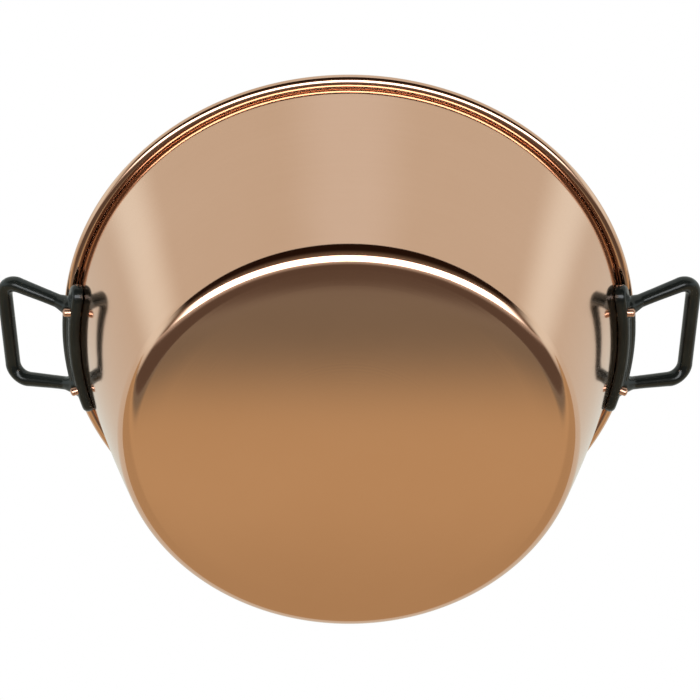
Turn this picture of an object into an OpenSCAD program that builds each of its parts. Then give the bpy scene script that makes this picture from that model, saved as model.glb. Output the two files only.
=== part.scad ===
/* [Pan] */
// Diameter over the rolled rim
rim_d = 380; // [360:5:400]
// Height from the base to the top of the rim
pan_h = 137; // [130:1:150]
// Diameter of the flat bottom, inside the rounded corner
flat_d = 257.6; // [250:0.2:264]
// Outer radius of the corner between bottom and wall
corner_r = 13.6; // [10:0.2:18]
// How much the lower wall bends towards the corner, in degrees
belly_bend = 2.4; // [0.5:0.1:2.5]
// Radius of the slight belly in the lower wall
belly_r = 1500; // [1200:50:2000]
// Thickness of the copper sheet
sheet = 1.5; // [1:0.1:1.8]
// Diameter of the rolled bead at the rim
bead_d = 8; // [7:0.1:9.5]
// Part of the roll left open under the rim, in degrees
roll_gap = 62; // [58:1:90]

/* [Rim wire] */
// Gap between the wire and the sheet rolled round it
wire_clear = 0.1; // [0.05:0.01:0.3]

/* [Handle plate] */
// Length of the plate along the wall, over its rounded ends
plate_len = 97; // [92:0.5:110]
// Height of the plate along the slope of the wall
plate_h = 16; // [14:0.5:18]
// Thickness of the plate, square to the wall
plate_t = 7; // [6:0.1:8]
// Radius of the plate's rounded outer edge
plate_edge_r = 4; // [2:0.1:5]
// Gap between the rolled bead and the handle
bead_clear = 0.6; // [0.4:0.1:2]
// Gap between the wall and the back of the plate
seat_clear = 0.05; // [0.02:0.01:0.2]
// How far below the bead the plate begins
plate_drop = 1.4; // [1:0.1:4]

/* [Handle loop] */
// Diameter of the outer bar of the loop
bar_d = 10.4; // [9:0.1:12]
// Diameter of the legs where they leave the plate
leg_d = 9.2; // [8:0.1:10]
// Radius of the loop's outer corners, to the middle of the bar
grip_corner_r = 10; // [7:0.5:12]
// How far the outside of the bar stands out from the rim
grip_out = 44.5; // [40:0.5:55]
// Height of the middle of the bar above the top of the rim
grip_up = 7.5; // [5:0.5:12]
// Slope of the loop above level, in degrees
grip_tilt = 24; // [18:1:27]
// Distance between the two legs where they leave the plate
leg_gap = 61; // [57:1:66]
// Distance between the two legs, carried on to the bar
grip_w = 78; // [72:1:88]
// Distance from the rim out to the knee of each leg
knee_out = 8; // [7:0.5:12]
// How far up the wall a leg leaves the plate, below the bead
leg_drop = 6.5; // [6:0.1:9]
// How much wider a leg is where it grows out of the plate
root_flare = 3; // [1:0.5:4]

/* [Rivets] */
// Diameter of the rivet shank
rivet_d = 5.5; // [4:0.1:6]
// Distance between the two rivets of a handle
rivet_gap = 59; // [56:1:68]
// How far below the bead the rivets pass through the wall
rivet_drop = 11.5; // [11:0.5:14]
// How far the outer end of a rivet stands out of the plate
tail_out = 4.2; // [1:0.1:5]
// Diameter of the rivet head inside the pan
head_d = 13; // [9:0.5:16]
// Height of the rivet head inside the pan
head_h = 3; // [1.5:0.1:4]
// Gap round the shank and under the head
rivet_clear = 0.05; // [0.02:0.01:0.2]

/* [Hidden] */
$fn = 144;

COPPER = [0.80, 0.56, 0.42];
IRON = [0.13, 0.14, 0.13];
STEEL = [0.55, 0.55, 0.57];

bead_r = bead_d / 2;
bar_r = bar_d / 2;
leg_r = leg_d / 2;
bead_at = [rim_d / 2 - bead_r, pan_h - bead_r];
corner_at = [flat_d / 2, corner_r];

// How deep pieces of one body sink into each other where they would only touch
fuse = 0.1;

// The wall is the straight line that touches the belly from outside and the roll from inside
reach = bead_at - corner_at;
wall_off = belly_r - (belly_r - corner_r) * cos(belly_bend);
flare = atan2(reach[0], reach[1]) - asin((wall_off + bead_r - fuse - sheet) / norm(reach));
foot_slope = flare + belly_bend;
belly_at = corner_at - (belly_r - corner_r) * [cos(foot_slope), -sin(foot_slope)];
wall_len = (bead_at - belly_at) * [sin(flare), cos(flare)] + sheet / 5;
wall_start = belly_at + belly_r * [cos(flare), -sin(flare)];
function wall_r(z) = wall_start[0] + (z - wall_start[1]) * tan(flare);
function turn_of(y, z) = asin(y / wall_r(z));

plate_top = bead_at[1] - bead_r - plate_drop;
plate_z = plate_top - plate_h / 2 * cos(flare);
plate_turn = (plate_len - plate_h) / 2 / wall_r(plate_z) * 180 / PI;
rivet_z = bead_at[1] - bead_r - rivet_drop;
rivet_turn = turn_of(rivet_gap / 2, rivet_z);

// Frame on the outside of the wall: X square out of the wall, Z up along it
module on_wall(turn, z) {
  rotate([0, 0, turn]) translate([wall_r(z), 0, z]) rotate([0, flare, 0]) children();
}

// Everything inside the upper wall's outer cone, grown by a gap
module wall_space(gap) {
  low = wall_start[1];
  rotate_extrude() polygon([[0, low], [wall_r(low) + gap / cos(flare), low],
    [wall_r(pan_h) + gap / cos(flare), pan_h], [0, pan_h]]);
}

// Rod or cone between two points
module rod(p, q, r1, r2) {
  v = q - p;
  translate(p) rotate([0, acos(v[2] / norm(v)), atan2(v[1], v[0])])
    cylinder(h = norm(v), r1 = r1, r2 = r2);
}

// Points of the bent sheet's outside, shifted inwards by a depth: bottom, corner, belly, wall
function bent(depth) = concat([[0, depth]],
  [for (share = [0:1 / 14:1]) let (turn = share * (90 - foot_slope)) corner_at + (corner_r - depth) * [sin(turn), -cos(turn)]],
  [for (share = [0:0.25:1]) let (slope = foot_slope + share * (flare - foot_slope))
    belly_at + (belly_r - depth) * [cos(slope), -sin(slope)]],
  [wall_start + wall_len * [sin(flare), cos(flare)] - depth * [cos(flare), -sin(flare)]]);

module pan_profile() {
  outside = bent(0);
  inside = bent(sheet);
  polygon(concat(outside, [for (i = [len(inside) - 1:-1:0]) inside[i]]));
  translate(bead_at) difference() {
    circle(bead_r);
    circle(bead_r - sheet);
    rotate(180 - flare) polygon([[0, 0], [2 * bead_d, 0], 2 * bead_d * [cos(roll_gap), sin(roll_gap)]]);
  }
}

module pan_body() {
  color(COPPER) difference() {
    rotate_extrude($fn = 360) pan_profile();
    for (side = [0, 180], turn = [-rivet_turn, rivet_turn])
      on_wall(side + turn, rivet_z) rotate([0, 90, 0])
        cylinder(d = rivet_d + 2 * rivet_clear, h = 6 * sheet, center = true);
  }
}

module rim_wire() {
  color(STEEL) rotate_extrude() translate(bead_at) circle(bead_r - sheet - wire_clear);
}

// Half of the plate's section, from its middle line to its rounded edge; Y is square to the wall
module half_section(half) {
  back = 2;
  edge = min(plate_edge_r, half - fuse, plate_t - fuse);
  translate([0, -back]) square([half, back + plate_t - edge]);
  translate([0, -back]) square([half - edge, back + plate_t]);
  intersection() {
    translate([half - edge, plate_t - edge]) circle(edge);
    square([half, plate_t]);
  }
}

module button(turn, z, half) {
  on_wall(turn, z) rotate([0, 90, 0]) rotate_extrude() half_section(half);
}

module plate() {
  rotate([0, 0, -plate_turn]) rotate_extrude(angle = 2 * plate_turn)
    translate([wall_r(plate_z), plate_z]) rotate(-flare - 90) {
      half_section(plate_h / 2);
      mirror([1, 0]) half_section(plate_h / 2);
    }
  for (turn = [-plate_turn, plate_turn]) button(turn, plate_z, plate_h / 2);
}

// Rib along the top of the plate, from leg to leg, its outside in line with the rim
module rib() {
  turn = turn_of(leg_gap / 2 - fuse, plate_z);
  rotate([0, 0, -turn]) rotate_extrude(angle = 2 * turn)
    translate([rim_d / 2 - leg_r, bead_at[1] - bead_r - bead_clear - leg_r]) circle(leg_r);
}

// Where each leg leaves the plate
root_z = bead_at[1] - bead_r - leg_drop;
root_r = wall_r(root_z) + plate_t / 2;
root = [sqrt(root_r * root_r - leg_gap * leg_gap / 4), leg_gap / 2, root_z];

// The loop lies in one sloping plane, with its origin midway between the knees
knee_x = rim_d / 2 + knee_out;
bar_x = rim_d / 2 + grip_out - bar_r;
grip_z = pan_h + grip_up;
knee_z = grip_z - (bar_x - knee_x) * tan(grip_tilt);
knee_y = leg_gap / 2 + (grip_w - leg_gap) / 2 * (knee_x - root[0]) / (bar_x - root[0]);
loop_len = (bar_x - knee_x) / cos(grip_tilt);
splay = atan((grip_w / 2 - knee_y) / loop_len);
along = [cos(splay), sin(splay)];
inward = [sin(splay), -cos(splay)];
knee = [0, knee_y];
// Each corner touches its leg and the straight bar
leg_len = (loop_len - grip_corner_r * (1 + sin(splay))) / cos(splay);
leg_end = knee + leg_len * along;
turn_at = leg_end + grip_corner_r * inward;
// Leg and bar run this far into the corner between them
corner_lap = 0.5;
lap_end = leg_end + corner_lap * along;

module loop() {
  translate([knee_x, 0, knee_z]) rotate([0, -grip_tilt, 0]) {
    for (side = [0, 1]) mirror([0, side, 0]) {
      rod([knee[0], knee[1], 0], [lap_end[0], lap_end[1], 0], leg_r, bar_r - fuse);
      translate([turn_at[0], turn_at[1], 0])
        rotate_extrude(angle = 90 + splay) translate([grip_corner_r, 0]) circle(bar_r);
    }
    translate([loop_len, 0, 0]) rotate([90, 0, 0])
      cylinder(r = bar_r - fuse, h = 2 * (turn_at[1] + corner_lap), center = true);
  }
}

// Each leg passes under the bead on its way from the plate to its knee
knee_at = [knee_x, knee_y, knee_z];

module legs() {
  for (side = [0, 1]) mirror([0, side, 0]) {
    rod(root, knee_at, leg_r, leg_r);
    rod(root, root + (knee_at - root) * 0.6, leg_r + root_flare, leg_r);
    translate(root) sphere(leg_r + root_flare + fuse);
    translate(knee_at) sphere(leg_r + fuse);
  }
}

module handle() {
  difference() {
    union() {
      plate();
      rib();
      legs();
      loop();
    }
    wall_space(seat_clear);
    rotate_extrude() translate(bead_at) circle(bead_r + bead_clear);
    for (turn = [-rivet_turn, rivet_turn])
      on_wall(turn, rivet_z) rotate([0, 90, 0])
        cylinder(d = rivet_d + 2 * rivet_clear, h = 4 * plate_t);
  }
}

// Domed head inside the pan, shank through wall and plate, hammered end outside
module rivet(turn) {
  dome_r = (head_d * head_d / 4 + head_h * head_h) / (2 * head_h);
  tail_end = seat_clear + plate_t + tail_out;
  color(COPPER) {
    intersection() {
      on_wall(turn, rivet_z) translate([dome_r - head_h - sheet, 0, 0]) intersection() {
        sphere(dome_r);
        translate([-dome_r, 0, 0]) rotate([0, 90, 0]) cylinder(d = head_d, h = head_h + sheet);
      }
      wall_space(-sheet - rivet_clear);
    }
    on_wall(turn, rivet_z) rotate([0, 90, 0]) {
      translate([0, 0, -2 * sheet]) cylinder(d = rivet_d, h = tail_end - rivet_d / 4 + 2 * sheet);
      translate([0, 0, tail_end - rivet_d / 4]) intersection() {
        sphere(d = rivet_d);
        cylinder(d = rivet_d, h = rivet_d / 4);
      }
    }
  }
}

module right_handle() { color(IRON) handle(); }
module left_handle() { color(IRON) rotate([0, 0, 180]) handle(); }
module right_front_rivet() { rivet(-rivet_turn); }
module right_rear_rivet() { rivet(rivet_turn); }
module left_front_rivet() { rivet(180 + rivet_turn); }
module left_rear_rivet() { rivet(180 - rivet_turn); }

pan_body();
rim_wire();
left_handle();
right_handle();
left_front_rivet();
left_rear_rivet();
right_front_rivet();
right_rear_rivet();
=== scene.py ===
import math

import bmesh
import bpy
from mathutils import Matrix, Vector


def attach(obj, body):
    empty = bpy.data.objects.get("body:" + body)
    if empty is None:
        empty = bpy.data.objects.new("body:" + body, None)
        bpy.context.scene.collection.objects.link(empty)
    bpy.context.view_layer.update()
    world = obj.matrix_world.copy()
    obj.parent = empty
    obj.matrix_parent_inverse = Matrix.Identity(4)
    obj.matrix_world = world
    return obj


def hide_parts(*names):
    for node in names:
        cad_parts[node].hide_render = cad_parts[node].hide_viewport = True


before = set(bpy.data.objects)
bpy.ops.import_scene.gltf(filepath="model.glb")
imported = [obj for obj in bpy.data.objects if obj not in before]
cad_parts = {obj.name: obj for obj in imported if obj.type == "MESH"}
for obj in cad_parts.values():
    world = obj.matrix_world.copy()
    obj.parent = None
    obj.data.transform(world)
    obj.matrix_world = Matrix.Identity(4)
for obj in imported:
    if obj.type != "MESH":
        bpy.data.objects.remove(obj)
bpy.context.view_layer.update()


# ---- Pan body ----
# The bowl is one sheet of copper, spun to shape: flat bottom, rounded corner, sloping wall and a rim rolled
# outwards round a wire. It is polished, and the spinning left faint rings on it.
RIM_R = 0.190
PAN_H = 0.137
FLAT_R = 0.1288
CORNER_R = 0.0136
BELLY_BEND = math.radians(2.4)
BELLY_R = 1.5
SHEET = 0.0015
BEAD_R = 0.004
ROLL_GAP = math.radians(62)
AROUND = 288

bead_at = Vector((RIM_R - BEAD_R, PAN_H - BEAD_R))
corner_at = Vector((FLAT_R, CORNER_R))
reach = bead_at - corner_at
wall_off = BELLY_R - (BELLY_R - CORNER_R) * math.cos(BELLY_BEND)
flare = math.atan2(reach.x, reach.y) - math.asin((wall_off + BEAD_R - SHEET) / reach.length)
foot_slope = flare + BELLY_BEND
belly_at = corner_at - (BELLY_R - CORNER_R) * Vector((math.cos(foot_slope), -math.sin(foot_slope)))
wall_start = belly_at + BELLY_R * Vector((math.cos(flare), -math.sin(flare)))


def wall_radius(z):
    """Outer radius of the straight part of the wall at a height."""
    return wall_start.x + (z - wall_start.y) * math.tan(flare)


def copper_outline(depth):
    """Points of the sheet from the middle of the base to the end of the roll, at a depth under its outside."""
    points = [Vector((0, depth))]
    points += [Vector((r, depth)) for r in (0.03, 0.06, 0.09, 0.115)]
    for step in range(19):
        turn = step / 18 * (math.pi / 2 - foot_slope)
        points.append(corner_at + (CORNER_R - depth) * Vector((math.sin(turn), -math.cos(turn))))
    for share in (0.33, 0.67, 1):
        slope = foot_slope + share * (flare - foot_slope)
        points.append(belly_at + (BELLY_R - depth) * Vector((math.cos(slope), -math.sin(slope))))
    # up the wall, then over the top and round the roll: here the sheet's outside is the roll's inside
    roll_from, roll_to = math.pi - flare, math.pi - flare + ROLL_GAP - 2 * math.pi
    roll_r = BEAD_R - SHEET + depth
    end = bead_at + roll_r * Vector((math.cos(roll_from), math.sin(roll_from)))
    start = points[-1]
    points += [start.lerp(end, share / 8) for share in range(1, 8)]
    for step in range(41):
        turn = roll_from + step / 40 * (roll_to - roll_from)
        points.append(bead_at + roll_r * Vector((math.cos(turn), math.sin(turn))))
    return points


def spun(name, outline, closed, around):
    """Mesh of an outline of (radius, height) points turned round the Z axis, smooth."""
    form = bmesh.new()
    rings = []
    for point in outline:
        if point.x < 1e-7:
            rings.append([form.verts.new((0, 0, point.y))] * around)
            continue
        rings.append([form.verts.new((point.x * math.cos(a), point.x * math.sin(a), point.y))
                      for a in (2 * math.pi * i / around for i in range(around))])
    pairs = list(zip(rings, rings[1:]))
    if closed:
        pairs.append((rings[-1], rings[0]))
    for low, high in pairs:
        for i in range(around):
            corners = []
            for vert in (low[i], low[(i + 1) % around], high[(i + 1) % around], high[i]):
                if vert not in corners:
                    corners.append(vert)
            if len(corners) > 2:
                form.faces.new(corners)
    bmesh.ops.recalc_face_normals(form, faces=form.faces)
    for face in form.faces:
        face.smooth = True
    mesh = bpy.data.meshes.new(name)
    form.to_mesh(mesh)
    form.free()
    piece = bpy.data.objects.new(name, mesh)
    bpy.context.scene.collection.objects.link(piece)
    return piece


class Value:
    """A number socket with the arithmetic that the finishes below are written in."""

    def __init__(self, finish, socket):
        self.finish, self.socket = finish, socket

    def combine(self, operation, *others):
        values = [other.socket if isinstance(other, Value) else other for other in others]
        return Value(self.finish, self.finish.add("ShaderNodeMath", {"operation": operation}, values).outputs[0])

    def __add__(self, other): return self.combine("ADD", self, other)
    def __radd__(self, other): return self.combine("ADD", other, self)
    def __sub__(self, other): return self.combine("SUBTRACT", self, other)
    def __rsub__(self, other): return self.combine("SUBTRACT", other, self)
    def __mul__(self, other): return self.combine("MULTIPLY", self, other)
    def __rmul__(self, other): return self.combine("MULTIPLY", other, self)
    def __truediv__(self, other): return self.combine("DIVIDE", self, other)

    def band(self, low, high, soft):
        """1 between two values and 0 outside, with soft edges."""
        rise = self.finish.step(self, low - soft, low + soft)
        fall = self.finish.step(self, high - soft, high + soft)
        return rise * (1 - fall)


class Finish:
    """A material built from nodes, with one method that adds any node."""

    def __init__(self, name):
        self.material = bpy.data.materials.new(name)
        self.material.use_nodes = True
        self.tree = self.material.node_tree
        self.tree.nodes.clear()
        self.output = self.add("ShaderNodeOutputMaterial")

    def add(self, kind, settings=None, values=()):
        node = self.tree.nodes.new(kind)
        for name, setting in (settings or {}).items():
            setattr(node, name, setting)
        for key, value in (values.items() if isinstance(values, dict) else enumerate(values)):
            if isinstance(value, Value):
                value = value.socket
            if isinstance(value, bpy.types.NodeSocket):
                self.tree.links.new(value, node.inputs[key])
            elif value is not None:
                node.inputs[key].default_value = value
        return node

    def place(self):
        """Object coordinates, whole and as three values."""
        whole = self.add("ShaderNodeTexCoord").outputs["Object"]
        parts = self.add("ShaderNodeSeparateXYZ", values=[whole]).outputs
        return whole, *(Value(self, part) for part in parts)

    def step(self, value, low, high):
        node = self.add("ShaderNodeMapRange", {"interpolation_type": "SMOOTHSTEP"},
                        {"Value": value, "From Min": low, "From Max": high})
        return Value(self, node.outputs[0])

    def noise(self, vector, scale, detail=3.0, rough=0.5):
        node = self.add("ShaderNodeTexNoise", values={"Vector": vector, "Scale": scale, "Detail": detail, "Roughness": rough})
        return Value(self, node.outputs[0])

    def blend(self, share, first, second):
        node = self.add("ShaderNodeMix", {"data_type": "RGBA"})
        for slot, value in ((0, share), (6, first), (7, second)):
            if isinstance(value, Value):
                value = value.socket
            if isinstance(value, bpy.types.NodeSocket):
                self.tree.links.new(value, node.inputs[slot])
            else:
                node.inputs[slot].default_value = value
        return node.outputs[2]

    def metal(self, **values):
        shader = self.add("ShaderNodeBsdfPrincipled", values={k.replace("_", " "): v for k, v in values.items()})
        self.tree.links.new(shader.outputs[0], self.output.inputs["Surface"])
        return self.material


def polished_copper(name, pale, deep, smooth, rings):
    """Copper with faint rings from spinning and a slight warm cloudiness."""
    finish = Finish(name)
    whole, x, y, z = finish.place()
    radius = (x * x + y * y).combine("SQRT", x * x + y * y)
    ring_place = finish.add("ShaderNodeCombineXYZ", values=[radius, z, 0.0]).outputs[0]
    fine = finish.noise(ring_place, rings, 2.0)
    cloud = finish.noise(whole, 9.0, 4.0, 0.6)
    tone = finish.blend(cloud * 0.7 + fine * 0.3, deep, pale)
    rough = smooth + 0.03 * fine + 0.03 * cloud
    bump = finish.add("ShaderNodeBump", values={"Strength": 0.02, "Distance": 0.0002, "Height": fine})
    return finish.metal(Base_Color=tone, Metallic=1.0, Roughness=rough, Normal=bump.outputs[0])


outside = copper_outline(0)
inside = copper_outline(SHEET)
pan = spun("copper_bowl", outside + inside[::-1], False, AROUND)
pan.data.materials.append(polished_copper("polished copper", (0.78, 0.50, 0.36, 1), (0.70, 0.43, 0.29, 1), 0.06, 900.0))
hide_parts("pan_body")
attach(pan, "root")


# ---- Rim wire ----
# A ring of drawn steel wire fills the rolled rim and stiffens it. The roll covers it all round.
drawn = Finish("drawn steel wire")
whole, x, y, z = drawn.place()
grain = drawn.noise(whole, 400.0)
drawn.metal(Base_Color=drawn.blend(grain, (0.42, 0.42, 0.44, 1), (0.56, 0.56, 0.58, 1)), Metallic=1.0, Roughness=0.3 + 0.15 * grain)
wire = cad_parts["rim_wire"]
wire.data.materials.clear()
wire.data.materials.append(drawn.material)


# ---- Handles ----
# Each handle is one iron casting, plate and loop together, black and shiny. A casting has no sharp inner
# corners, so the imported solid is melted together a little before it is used.
MELT_VOXEL = 0.0006
MELT_ROUNDS = 14

black = Finish("black cast iron")
whole, x, y, z = black.place()
skin = black.noise(whole, 260.0, 4.0, 0.6)
patch = black.noise(whole, 45.0, 3.0)
relief = black.add("ShaderNodeBump", values={"Strength": 0.25, "Distance": 0.0004, "Height": 0.6 * skin + 0.4 * patch})
black.metal(Base_Color=black.blend(patch, (0.006, 0.008, 0.007, 1), (0.018, 0.022, 0.020, 1)), Metallic=0.0,
            Roughness=0.10 + 0.14 * skin, Normal=relief.outputs[0], Specular_IOR_Level=0.3)

for node, name in (("left_handle", "left_black_handle"), ("right_handle", "right_black_handle")):
    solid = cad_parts[node]
    mesh = solid.data.copy()
    mesh.name = name
    casting = bpy.data.objects.new(name, mesh)
    bpy.context.scene.collection.objects.link(casting)
    form = bmesh.new()
    form.from_mesh(mesh)
    bmesh.ops.remove_doubles(form, verts=form.verts, dist=1e-6)
    form.to_mesh(mesh)
    form.free()
    remesh = casting.modifiers.new("melt", "REMESH")
    remesh.mode = "VOXEL"
    remesh.voxel_size = MELT_VOXEL
    remesh.use_smooth_shade = True
    soften = casting.modifiers.new("soften", "SMOOTH")
    soften.factor = 0.5
    soften.iterations = MELT_ROUNDS
    melted = bpy.data.meshes.new_from_object(casting.evaluated_get(bpy.context.evaluated_depsgraph_get()))
    casting.modifiers.clear()
    casting.data = melted
    melted.name = name
    melted.materials.clear()
    melted.materials.append(black.material)
    for face in melted.polygons:
        face.use_smooth = True
    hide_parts(node)
    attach(casting, "root")


# ---- Rivets ----
# Two solid copper rivets hold each handle: a low dome inside the pan, a shank through wall and plate, and an
# end hammered round outside.
RIVET_R = 0.00275
RIVET_GAP = 0.059
RIVET_DROP = 0.0115
PLATE_T = 0.007
SEAT_CLEAR = 0.00005
TAIL_OUT = 0.0042
HEAD_R = 0.0065
HEAD_H = 0.003

dome_r = (HEAD_R ** 2 + HEAD_H ** 2) / (2 * HEAD_H)
tail_end = SEAT_CLEAR + PLATE_T + TAIL_OUT
rivet_outline = [Vector((0, -SHEET - HEAD_H))]
for step in range(1, 13):
    r = HEAD_R * step / 12
    rivet_outline.append(Vector((r, -SHEET - HEAD_H + dome_r - math.sqrt(dome_r ** 2 - r ** 2))))
rivet_outline.append(Vector((HEAD_R, -SHEET - 0.0001)))
rivet_outline.append(Vector((RIVET_R, -SHEET - 0.0001)))
rivet_outline.append(Vector((RIVET_R, tail_end - 0.0014)))
for step in range(1, 9):
    turn = step / 8 * math.pi / 2
    rivet_outline.append(Vector((RIVET_R * math.cos(turn), tail_end - 0.0014 + 0.0014 * math.sin(turn))))
one_rivet = spun("one_rivet", rivet_outline, False, 32)
one_rivet.data.transform(Matrix.Rotation(math.pi / 2, 4, "Y"))

rivet_z = bead_at.y - BEAD_R - RIVET_DROP
hammered = polished_copper("hammered copper", (0.70, 0.42, 0.30, 1), (0.52, 0.28, 0.19, 1), 0.26, 300.0)

tree = bpy.data.node_groups.new("rivets round the rim", "GeometryNodeTree")
sizes = {"Wall radius": wall_radius(rivet_z), "Height": rivet_z, "Lean": flare,
         "Half turn between": math.asin(RIVET_GAP / 2 / wall_radius(rivet_z))}
for size in sizes:
    tree.interface.new_socket(size, in_out="INPUT", socket_type="NodeSocketFloat")
tree.interface.new_socket("Rivet", in_out="INPUT", socket_type="NodeSocketObject")
tree.interface.new_socket("Copper", in_out="INPUT", socket_type="NodeSocketMaterial")
tree.interface.new_socket("Geometry", in_out="OUTPUT", socket_type="NodeSocketGeometry")


def geo(kind, settings=None, values=()):
    """Adds a node to the rivets' tree, with its settings and its inputs by index or name."""
    node = tree.nodes.new(kind)
    for name, setting in (settings or {}).items():
        setattr(node, name, setting)
    for key, value in (values.items() if isinstance(values, dict) else enumerate(values)):
        if isinstance(value, bpy.types.NodeSocket):
            tree.links.new(value, node.inputs[key])
        else:
            node.inputs[key].default_value = value
    return node


def maths(operation, *values):
    return geo("ShaderNodeMath", {"operation": operation}, values).outputs[0]


given = geo("NodeGroupInput").outputs
index = geo("GeometryNodeInputIndex").outputs[0]
side = maths("FLOOR", maths("DIVIDE", index, 2.0))
pair = maths("SUBTRACT", maths("MULTIPLY", maths("MODULO", index, 2.0), 2.0), 1.0)
turn = maths("ADD", maths("MULTIPLY", side, math.pi), maths("MULTIPLY", pair, given["Half turn between"]))
spot = geo("ShaderNodeCombineXYZ", values=[maths("MULTIPLY", given["Wall radius"], maths("COSINE", turn)),
                                           maths("MULTIPLY", given["Wall radius"], maths("SINE", turn)), given["Height"]]).outputs[0]
lean = geo("ShaderNodeCombineXYZ", values=[0.0, given["Lean"], turn]).outputs[0]
points = geo("GeometryNodePoints", values={"Count": 4, "Position": spot}).outputs[0]
rivet_shape = geo("GeometryNodeObjectInfo", values={"Object": given["Rivet"]}).outputs["Geometry"]
placed = geo("GeometryNodeInstanceOnPoints", values={"Points": points, "Instance": rivet_shape, "Rotation": lean}).outputs[0]
real = geo("GeometryNodeRealizeInstances", values=[placed]).outputs[0]
dressed = geo("GeometryNodeSetMaterial", values={"Geometry": real, "Material": given["Copper"]}).outputs[0]
tree.links.new(dressed, geo("NodeGroupOutput").inputs[0])

rivets = bpy.data.objects.new("copper_rivets", bpy.data.meshes.new("rivet start"))
bpy.context.scene.collection.objects.link(rivets)
setting = rivets.modifiers.new("rivets", "NODES")
setting.node_group = tree
for item in tree.interface.items_tree:
    if item.in_out == "INPUT":
        setting[item.identifier] = {"Rivet": one_rivet, "Copper": hammered}.get(item.name) or sizes[item.name]
rivet_mesh = bpy.data.meshes.new_from_object(rivets.evaluated_get(bpy.context.evaluated_depsgraph_get()))
rivets.modifiers.clear()
rivets.data = rivet_mesh
bpy.data.objects.remove(one_rivet)
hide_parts("left_front_rivet", "left_rear_rivet", "right_front_rivet", "right_rear_rivet")
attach(rivets, "root")


# ---- Floor and studio ----
# A pale floor under the pan. It is solid from above and open from below, where the photograph's camera is.
# A glowing shell that only reflections see stands for the studio, and its colours are painted reflections: pale all
# round, black round the camera, with a painted highlight strip low in front, lighter bands to the sides and a warm
# patch under and behind the pan.
WHITE = (1, 1, 1, 1)

floor_form = bmesh.new()
bmesh.ops.create_grid(floor_form, x_segments=1, y_segments=1, size=6)
floor_mesh = bpy.data.meshes.new("floor")
floor_form.to_mesh(floor_mesh)
floor_form.free()
floor = bpy.data.objects.new("floor", floor_mesh)
floor.location.z = -0.0002
bpy.context.scene.collection.objects.link(floor)
pale = Finish("pale floor")
facing_away = Value(pale, pale.add("ShaderNodeNewGeometry").outputs["Backfacing"])
come_from_below = Value(pale, pale.add("ShaderNodeLightPath").outputs["Transparent Depth"])
open_floor = facing_away.combine("MAXIMUM", facing_away, come_from_below.combine("GREATER_THAN", come_from_below, 0.5))
matt = pale.add("ShaderNodeBsdfDiffuse", values={"Color": (0.86, 0.86, 0.86, 1)})
clear = pale.add("ShaderNodeBsdfTransparent")
pale.tree.links.new(pale.add("ShaderNodeMixShader", values=[open_floor.socket, matt.outputs[0], clear.outputs[0]]).outputs[0],
                    pale.output.inputs["Surface"])
floor_mesh.materials.append(pale.material)

shell_form = bmesh.new()
bmesh.ops.create_icosphere(shell_form, subdivisions=5, radius=1)
shell_mesh = bpy.data.meshes.new("studio_shell")
shell_form.to_mesh(shell_mesh)
shell_form.free()
shell = bpy.data.objects.new("studio_shell", shell_mesh)
shell.scale = (3, 3, 3)
bpy.context.scene.collection.objects.link(shell)
studio = Finish("studio_shell")
whole, x, y, z = studio.place()
# degrees down from level in front, through straight down at 90, to level behind at 180
down = (0 - z).combine("ARCTAN2", 0 - z, 0 - y) * (180 / math.pi)
way_round = x.combine("ARCTAN2", x, 0 - y) * (180 / math.pi)
sideways = way_round.combine("ABSOLUTE", way_round)
aside = x.combine("ABSOLUTE", x)

# painted reflections of side lights: lighter bands to left and right
beside_light = sideways.band(74, 90, 7)
ahead = studio.blend(1 - studio.step(sideways, 4, 26), (0.74, 0.755, 0.69, 1), (0.82, 0.875, 0.86, 1))
ahead = studio.blend(beside_light, ahead, (0.97, 1.10, 1.10, 1))
# painted reflection for the base: a warm patch behind and under the pan, darker towards straight down
warm = studio.blend(studio.step(down, 120.5, 124.5), (0.24, 0.224, 0.18, 1), (0.645, 0.51, 0.31, 1))
warm = studio.blend(studio.step(down, 127, 132), warm, (0.55, 0.43, 0.26, 1))
dark = studio.blend(studio.step(down, 16, 45), (0.020, 0.010, 0.006, 1), (0.20, 0.16, 0.12, 1))
dim = studio.blend(studio.step(down, 74, 92), (0.65, 0.62, 0.58, 1), (0.13, 0.10, 0.08, 1))
near_camera = studio.blend(studio.step(down, 73, 74), dark, dim)
# painted highlight: a strip low in front that glows at six times white and shows only in reflections, where it gives
# the bright streaks
lit = down.band(46.5, 73, 1.2) * (1 - studio.step(aside, 0.70, 0.90))
near_camera = studio.blend(lit, near_camera, (6.0, 6.2, 6.4, 1))
tone = studio.blend(down.band(118.5, 172, 1), ahead, warm)
tone = studio.blend(down.band(-13, 118.5, 0.8) * (1 - studio.step(aside, 0.90, 0.98)), tone, near_camera)
glow = studio.add("ShaderNodeEmission", values={"Color": tone, "Strength": 1.0})
studio.tree.links.new(glow.outputs[0], studio.output.inputs["Surface"])
shell_mesh.materials.append(studio.material)
for sight in ("camera", "diffuse", "transmission", "volume_scatter", "shadow"):
    setattr(shell, "visible_" + sight, False)

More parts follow.
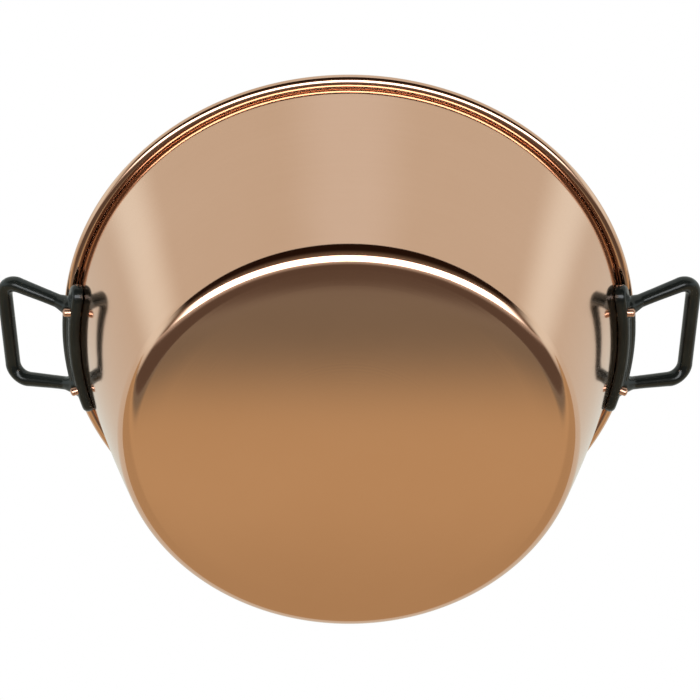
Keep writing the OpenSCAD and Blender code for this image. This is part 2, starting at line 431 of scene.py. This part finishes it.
world = bpy.data.worlds.new("studio air")
bpy.context.scene.world = world
world.use_nodes = True
air = world.node_tree
air.nodes.clear()
path = air.nodes.new("ShaderNodeLightPath")
seen = air.nodes.new("ShaderNodeMath")
seen.operation = "MAXIMUM"
air.links.new(path.outputs["Is Camera Ray"], seen.inputs[0])
air.links.new(path.outputs["Is Glossy Ray"], seen.inputs[1])
seen_too = air.nodes.new("ShaderNodeMath")
seen_too.operation = "MAXIMUM"
air.links.new(seen.outputs[0], seen_too.inputs[0])
air.links.new(path.outputs["Is Transmission Ray"], seen_too.inputs[1])
strength = air.nodes.new("ShaderNodeMapRange")
air.links.new(seen_too.outputs[0], strength.inputs["Value"])
strength.inputs["To Min"].default_value = 0.6
strength.inputs["To Max"].default_value = 1.0
background = air.nodes.new("ShaderNodeBackground")
background.inputs["Color"].default_value = WHITE
air.links.new(strength.outputs[0], background.inputs["Strength"])
air.links.new(background.outputs[0], air.nodes.new("ShaderNodeOutputWorld").inputs["Surface"])

for name, place, size, power in (("front soft light", (-0.9, -1.5, 1.3), 1.2, 16),
                                 ("side soft light", (1.3, -0.5, 1.5), 1.0, 9),
                                 ("low soft light", (-0.7, -1.1, -0.5), 0.5, 5)):
    lamp = bpy.data.lights.new(name, "AREA")
    lamp.size = size
    lamp.energy = power
    light = bpy.data.objects.new(name, lamp)
    light.location = place
    light.visible_glossy = False
    light.rotation_euler = (Vector((0, 0, 0.08)) - Vector(place)).to_track_quat("-Z", "Y").to_euler()
    bpy.context.scene.collection.objects.link(light)


# ---- Camera ----
# The photograph looks up at the pan's underside, 57.65 degrees under level, from in front.
UNDER_LEVEL = math.radians(57.65)
LENS = 93.2
camera_data = bpy.data.cameras.new("camera")
camera_data.lens = LENS
camera_data.sensor_width = 36
camera_data.shift_x = 1 / 700
camera_data.clip_end = 20
camera = bpy.data.objects.new("camera", camera_data)
forward = Vector((0, math.cos(UNDER_LEVEL), math.sin(UNDER_LEVEL)))
up = Vector((0, -math.sin(UNDER_LEVEL), math.cos(UNDER_LEVEL)))
across = Vector((1, 0, 0))
camera.matrix_world = Matrix.Translation((0, -0.6421, -0.8957)) @ Matrix((across, up, -forward)).transposed().to_4x4()
bpy.context.scene.collection.objects.link(camera)
bpy.context.scene.camera = camera
bpy.context.scene.view_settings.view_transform = "Standard"
